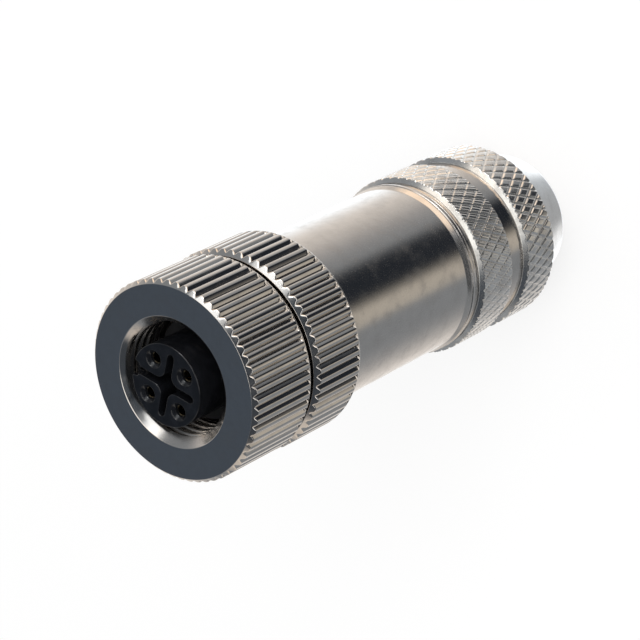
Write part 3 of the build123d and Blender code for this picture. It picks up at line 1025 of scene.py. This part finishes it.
@dataclass
class HousingSleeve:
    """The smooth sleeve with its collar, its two screw threads and its stepped bore."""

    barrel_start: float = 19.99
    barrel_length: float = 18.85
    barrel_radius: float = 8.54
    front_thread_radius: float = 8.25
    front_thread_cuts: int = 44
    collar_start: float = 18.79
    collar_radius: float = 8.79
    collar_flat: float = 0.4
    line_drop: float = 0.08
    line_width: float = 0.08
    slope_drop: float = 0.05
    slope_start: float = 0.22
    land_start: float = 18.64
    land_radius: float = 8.05
    spigot_radius: float = 7.5
    spigot_thread_cuts: int = 118
    spigot_bore: float = 6.6
    taper_start: float = 12.9
    throat_start: float = 14.2
    throat_radius: float = 5.3
    chamber_start: float = 20.59
    chamber_radius: float = 7.25
    thread_depth: float = 0.38
    thread_reach: float = 0.25
    columns: int = 224

    def build(self) -> None:
        """Makes the sleeve, with inward-cut threads and a fine line where the collar ends."""
        low, high = node_span("housing_sleeve")
        shoulder = self.barrel_start + self.barrel_length
        flat_end = self.collar_start + self.collar_flat
        path = outline([
            Corner(self.spigot_radius, low, 0.15, self.spigot_thread_cuts),
            Corner(self.spigot_radius, self.land_start),
            Corner(self.land_radius, self.land_start),
            Corner(self.land_radius, self.collar_start),
            Corner(self.collar_radius, self.collar_start, 0.1),
            Corner(self.collar_radius, flat_end, 0.08, 2),
            Corner(self.collar_radius - self.line_drop, flat_end + self.line_width, 0.03),
            Corner(self.collar_radius - self.slope_drop, flat_end + self.slope_start, 0.08, 2),
            Corner(self.barrel_radius, self.barrel_start, 0.1, 6),
            Corner(self.barrel_radius, shoulder),
            Corner(self.front_thread_radius, shoulder, cuts=self.front_thread_cuts),
            Corner(self.front_thread_radius, high, 0.2),
            Corner(self.chamber_radius, high, 0.05, 2),
            Corner(self.chamber_radius, self.chamber_start),
            Corner(self.throat_radius, self.chamber_start, 0.05),
            Corner(self.throat_radius, self.throat_start, 0.05),
            Corner(self.spigot_bore, self.taper_start, 0.05),
            Corner(self.spigot_bore, low, 0.05),
        ])
        angle = even_angles(self.columns)
        radius = path[:, :1]
        for crest, start, end in (
            (self.spigot_radius, low, self.land_start),
            (self.front_thread_radius, shoulder, high),
        ):
            thread = Thread(crest, -self.thread_depth, start, end, reach=self.thread_reach)
            radius = thread.cut(path, angle, radius)
        piece = turned_piece("housing_sleeve_turned", path, angle, radius)
        fit_piece(piece, "housing", NICKEL_SATIN, "housing_sleeve")


@dataclass(frozen=True)
class Grooves:
    """One of the crossing sets of rolled grooves.

    Attributes:
        starts: How many grooves go round, negative where they lean the other way.
        rate: Grooves met along a millimetre of height.
        phase: Share of a groove by which the set is turned.
        width: Full width of a groove at its top, in millimetres.
        depth: Depth of a groove.
    """

    starts: int
    rate: float
    phase: float
    width: float
    depth: float

    def cut(self, path: Array, angle: Array, radius: float) -> Array:
        """Depth cut at each point.

        The set's phase is starts * angle / turn + rate * height - phase. Its distance from a
        whole number over the phase's slope is the distance from the groove's middle, and the
        depth falls off with that in a straight line.

        Args:
            path: Radius and height of the turned outline, one row a point.
            angle: Column angles in radians.
            radius: Radius of the uncut surface, for the slope.

        Returns:
            The depth, rows by columns.
        """
        place = self.starts * angle / TURN + self.rate * path[:, 1:] - self.phase
        away = np.abs(np.mod(place + 0.5, 1.0) - 0.5)
        slope = math.hypot(self.starts / (TURN * radius), self.rate)
        return self.depth * np.clip(1.0 - 2.0 * away / slope / self.width, 0.0, 1.0)


@dataclass
class DiamondBand:
    """A band of the gland nut whose crossing grooves leave low diamonds between them."""

    name: str
    low: float
    length: float
    chamfer: float = 0.49
    chamfer_length: float = 0.34
    blend: float = 0.05
    inner_radius: float = 8.3
    columns: int = 1080
    rows: int = 58
    sets: tuple[Grooves, ...] = (
        Grooves(47, 0.4535, 0.82, 0.46, 0.13),
        Grooves(-53, 0.4535, 0.10, 0.42, 0.12),
    )

    def build(self, tip: float) -> None:
        """Makes the band as the rounded lesser of its outline and its grooved skin.

        The skin is the tip radius less the deepest of the sets of grooves at each point.

        Args:
            tip: Radius over the diamonds in millimetres.
        """
        high = self.low + self.length
        path = outline([
            Corner(self.inner_radius, self.low),
            Corner(tip, self.low, 0.05, self.rows),
            Corner(tip, high, 0.03, 8),
            Corner(tip - self.chamfer, high + self.chamfer_length, 0.04),
            Corner(self.inner_radius, high + self.chamfer_length),
        ])
        angle = even_angles(self.columns)
        skin = tip - np.max([grooves.cut(path, angle, tip) for grooves in self.sets], axis=0)
        radius = soft_least(path[:, :1], skin, self.blend)
        # The bands wear the rolled nickel, whose raised tint is painted light.
        fit_piece(turned_piece(self.name, path, angle, radius), "gland", NICKEL_ROLLED_PAINTED_LIGHT)


@dataclass
class GlandNut:
    """The clamping nut: cone, two diamond-knurled bands, smooth groove and threaded bore."""

    cone_length: float = 5.7
    end_radius: float = 6.59
    groove_radius: float = 8.65
    thread_radius: float = 7.55
    thread_depth: float = 0.4
    thread_cuts: int = 134
    thrust_height: float = 5.2
    cable_bore: float = 4.5
    columns: int = 256
    bands: tuple[DiamondBand, ...] = (
        DiamondBand("gland_band_rear", 5.7, 4.45),
        DiamondBand("gland_band_front", 13.07, 4.7, sets=(
            Grooves(47, 0.4535, 0.85, 0.34, 0.10),
            Grooves(-53, 0.4535, 0.10, 0.36, 0.16),
            Grooves(-159, 1.3605, 0.30, 0.30, 0.06),
        )),
    )

    def build(self) -> None:
        """Makes the nut at its groove's radius, then the bands round it."""
        low, high = node_span("gland_nut")
        path = outline([
            Corner(self.cable_bore, low, 0.25),
            Corner(self.end_radius, low, 0.3, 5),
            Corner(self.groove_radius, low + self.cone_length, 0.05, 8),
            Corner(self.groove_radius, high, 0.08),
            Corner(self.thread_radius, high, 0.12, self.thread_cuts),
            Corner(self.thread_radius, self.thrust_height),
            Corner(self.cable_bore, self.thrust_height, 0.06, 4),
        ])
        angle = even_angles(self.columns)
        thread = Thread(self.thread_radius, self.thread_depth, self.thrust_height)
        radius = thread.cut(path, angle, path[:, :1])
        piece = turned_piece("gland_nut_cut", path, angle, radius)
        fit_piece(piece, "gland", NICKEL_KNURL, "gland_nut")
        for band in self.bands:
            band.build(node_radius("gland_nut"))


@dataclass
class Trim:
    """CAD nodes whose shape is right as it is, and the finish of each."""

    finishes: dict[str, Finish] = field(default_factory=lambda: {
        "terminal_block": INSULATOR,
        "face_seal": RUBBER,
        "body_seal": RUBBER,
        "cable_seal": RUBBER,
        "clamp_cage": CAGE_NYLON,
        "thrust_washer": CAGE_NYLON,
        "retaining_clip": SPRING_STEEL,
        "shield_spring": SPRING_STEEL,
        "shield_ring": TURNED_BRASS,
        "terminal_screws": SCREW_ZINC,
        # The contacts take the darkened gold, whose dim tint is painted shade.
        **{f"contact_{k}": CONTACT_GOLD_SHADED for k in range(1, 5)},
        **{f"wire_guard_{k}": SPRING_STEEL for k in range(1, 5)},
    })

    def build(self) -> None:
        """Dresses each node."""
        for node, finish in self.finishes.items():
            dress(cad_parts[node], finish)
            log.info("%s: %s", node, finish.name)


def heading(azimuth: float, elevation: float) -> Vector:
    """The unit vector at an azimuth from +X to +Y and an elevation, both in degrees."""
    turn, rise = math.radians(azimuth), math.radians(elevation)
    level = math.cos(rise)
    return Vector((level * math.cos(turn), level * math.sin(turn), math.sin(rise)))


class Lay(Enum):
    """How a patch joins the room's light: the node's operation, and what changes nothing."""

    GLOW = ("ADD", (0.0, 0.0, 0.0))
    FLAG = ("MULTIPLY", (1.0, 1.0, 1.0))


@dataclass(frozen=True)
class Patch:
    """A soft patch of the studio as the metal mirrors it.

    Attributes:
        azimuth: Direction round the axis in degrees, from +X to +Y.
        elevation: Degrees above the horizon.
        core: Degrees from its middle at which it starts to fade.
        rim: Degrees from its middle at which it ends.
        colour: What a glow adds, or the share of light that a flag leaves.
    """

    azimuth: float
    elevation: float
    core: float
    rim: float
    colour: Colour

    def over(self, graph: Graph, under: Socket, towards: Socket, lay: Lay) -> Socket:
        """Lays the patch on the room: in full inside its core, eased to nothing at its rim.

        Args:
            graph: The world's nodes.
            under: The room's colour so far.
            towards: The direction looked in.
            lay: As a glow or as a flag.

        Returns:
            The room's colour with the patch.
        """
        operation, neutral = lay.value
        ends = {0: towards, 1: heading(self.azimuth, self.elevation)}
        along = graph.add("VectorMath", ends, operation="DOT_PRODUCT").outputs["Value"]
        rim, core = (math.cos(math.radians(angle)) for angle in (self.rim, self.core))
        patch = graph.blend(graph.spread(along, 0.0, 1.0, rim, core), neutral, self.colour)
        return graph.add("VectorMath", {0: under, 1: patch}, operation=operation).outputs[0]


@dataclass
class Studio:
    """Pale floor, plain light, and the grey room with glows and flags that the metal mirrors."""

    floor_size: float = 1.6
    floor_drop: float = 0.00002
    floor_tone: Colour = (0.36, 0.36, 0.36)
    floor_glow: float = 0.72
    room_light: float = 0.62
    room_grey: Colour = (0.286, 0.308, 0.333)
    lamp_power: float = 1.1
    lamp_size: float = 0.40
    lamp_place: tuple[float, float, float] = (-0.18, -0.34, 0.42)
    glows: tuple[Patch, ...] = (
        Patch(23.8, -65.8, 11.6, 32.2, (0.52, 0.69, 0.85)),
        Patch(25.1, -43.9, 20.6, 75.7, (0.71, 0.63, 0.55)),
        Patch(-83.4, 19.1, 22.8, 29.0, (1.20, 1.25, 1.28)),
        Patch(-83.0, 22.0, 3.0, 7.0, (12.0, 12.0, 12.0)),
        Patch(-160.1, -47.3, 7.0, 16.3, (0.31, 0.25, 0.16)),
        Patch(-120.0, 80.0, 22.0, 30.0, (1.20, 1.17, 1.10)),
        Patch(-64.0, 52.0, 10.0, 17.0, (1.10, 1.00, 0.88)),
        Patch(-60.0, -17.0, 12.0, 26.0, (1.20, 0.90, 0.62)),
        Patch(-98.0, -13.0, 10.0, 24.0, (1.20, 0.95, 0.70)),
        Patch(-125.0, 8.0, 5.0, 13.0, (3.5, 3.5, 3.5)),
        Patch(-150.0, 8.0, 5.0, 15.0, (5.5, 5.5, 5.5)),
        Patch(-175.0, 8.0, 5.0, 15.0, (5.5, 5.5, 5.5)),
        Patch(121.0, -0.5, 7.6, 27.5, (0.58, 0.48, 0.37)),
    )
    flags: tuple[Patch, ...] = (
        Patch(-127.0, -43.9, 10.0, 24.5, (0.07, 0.08, 0.10)),
        Patch(-161.2, 4.8, 31.2, 40.8, (0.29, 0.29, 0.29)),
        Patch(47.0, 46.0, 22.0, 34.0, (0.25, 0.30, 0.37)),
        Patch(90.3, -87.4, 9.5, 17.8, (0.47, 0.48, 0.49)),
        Patch(152.0, 33.0, 20.0, 34.0, (0.20, 0.22, 0.25)),
        Patch(-128.0, 42.0, 10.0, 17.0, (0.26, 0.29, 0.33)),
        Patch(-155.0, 42.0, 10.0, 17.0, (0.26, 0.29, 0.33)),
    )

    def world(self) -> None:
        """White to the camera, patterned to mirrors, and even to everything else."""
        room = bpy.data.worlds.new("studio_room")
        bpy.context.scene.world = room
        room.use_nodes = True
        graph = Graph(room.node_tree)
        towards = graph.add("TexCoord").outputs["Generated"]
        total = graph.add("CombineColor", dict(enumerate(self.room_grey))).outputs[0]
        for patches, lay in ((self.glows, Lay.GLOW), (self.flags, Lay.FLAG)):
            for patch in patches:
                total = patch.over(graph, total, towards, lay)
        mirrored, even, white = (
            graph.add("Background", {"Color": colour, "Strength": strength}).outputs[0]
            for colour, strength in ((total, 1.0), (WHITE, self.room_light), (WHITE, 1.0))
        )
        rays = graph.add("LightPath").outputs
        by_mirror = graph.add("MixShader", {0: rays["Is Glossy Ray"], 1: even, 2: mirrored})
        direct = graph.maths("MAXIMUM", rays["Is Camera Ray"], rays["Is Transmission Ray"])
        by_sight = graph.add("MixShader", {0: direct, 1: by_mirror.outputs[0], 2: white})
        graph.add("OutputWorld", {"Surface": by_sight.outputs[0]})

    def floor(self) -> None:
        """A pale floor that shows the object's shadow and lets mirrors see the room below."""
        half = self.floor_size / 2
        corners = [(-half, -half), (half, -half), (half, half), (-half, half)]
        mesh = bpy.data.meshes.new("studio_floor")
        mesh.from_pydata([(x, y, -self.floor_drop) for x, y in corners], [], [(0, 1, 2, 3)])
        floor = bpy.data.objects.new("studio_floor", mesh)
        bpy.context.scene.collection.objects.link(floor)
        pale = bpy.data.materials.new("floor_pale")
        pale.use_nodes = True
        graph = Graph(pale.node_tree)
        seen = graph.add("LightPath").outputs["Is Camera Ray"]
        glow = graph.maths("MULTIPLY", seen, self.floor_glow)
        lit = graph.add("BsdfDiffuse", {"Color": (*self.floor_tone, 1.0)})
        own = graph.add("Emission", {"Color": WHITE, "Strength": glow})
        both = graph.add("AddShader", {0: lit.outputs[0], 1: own.outputs[0]})
        graph.add("OutputMaterial", {"Surface": both.outputs[0]})
        mesh.materials.append(pale)
        floor.visible_glossy = False

    def lamp(self) -> None:
        """One large soft lamp, which mirrors don't show."""
        light = bpy.data.lights.new("soft_lamp", "AREA")
        light.energy = self.lamp_power
        light.size = self.lamp_size
        lamp = bpy.data.objects.new("soft_lamp", light)
        bpy.context.scene.collection.objects.link(lamp)
        lamp.location = self.lamp_place
        lamp.rotation_euler = (-Vector(self.lamp_place)).to_track_quat("-Z", "Y").to_euler()
        lamp.visible_glossy = False

    def build(self) -> None:
        """Sets up room, floor and lamp."""
        self.world()
        self.floor()
        self.lamp()
        log.info("studio ready")


@dataclass(frozen=True)
class Viewpoint:
    """The camera of the photograph, for a square picture.

    Attributes:
        place: Position in millimetres.
        azimuth: Direction looked in, in degrees from +X to +Y.
        elevation: Degrees above the horizon, negative when it looks down.
        roll: Turn about the line of sight in degrees.
        lens: Focal length in millimetres.
        sensor: Width of the sensor in millimetres.
        near: Distance from which things are seen, in millimetres.
    """

    place: tuple[float, float, float] = (-130.12, -137.22, 232.45)
    azimuth: float = 46.785
    elevation: float = -46.52
    roll: float = -116.37
    lens: float = 160.56
    sensor: float = 36.0
    near: float = 10.0

    def build(self) -> None:
        """Makes the camera and hands it to the scene."""
        ahead = heading(self.azimuth, self.elevation)
        level = ahead.cross(Vector((0.0, 0.0, 1.0))).normalized()
        upright = level.cross(ahead)
        tilt = math.radians(self.roll)
        right = math.cos(tilt) * level + math.sin(tilt) * upright
        up = right.cross(ahead)
        data = bpy.data.cameras.new("photo_camera")
        data.lens = self.lens
        data.sensor_width = self.sensor
        data.clip_start = self.near * MM
        camera = bpy.data.objects.new("photo_camera", data)
        bpy.context.scene.collection.objects.link(camera)
        basis = Matrix((right, up, -ahead)).transposed().to_4x4()
        camera.matrix_world = Matrix.Translation(Vector(self.place) * MM) @ basis
        bpy.context.scene.camera = camera


def main() -> None:
    """Builds the view, the pieces and the studio in order."""
    logging.basicConfig(level=logging.INFO, format="%(name)s %(message)s")
    bpy.context.scene.view_settings.view_transform = "Standard"
    for part in (
        Viewpoint(), CouplingNut(), CarrierHead(), ContactInsert(), HousingSleeve(), GlandNut(),
        Trim(), Studio(),
    ):
        part.build()
    bpy.context.view_layer.update()


if __name__ == "__main__":
    main()
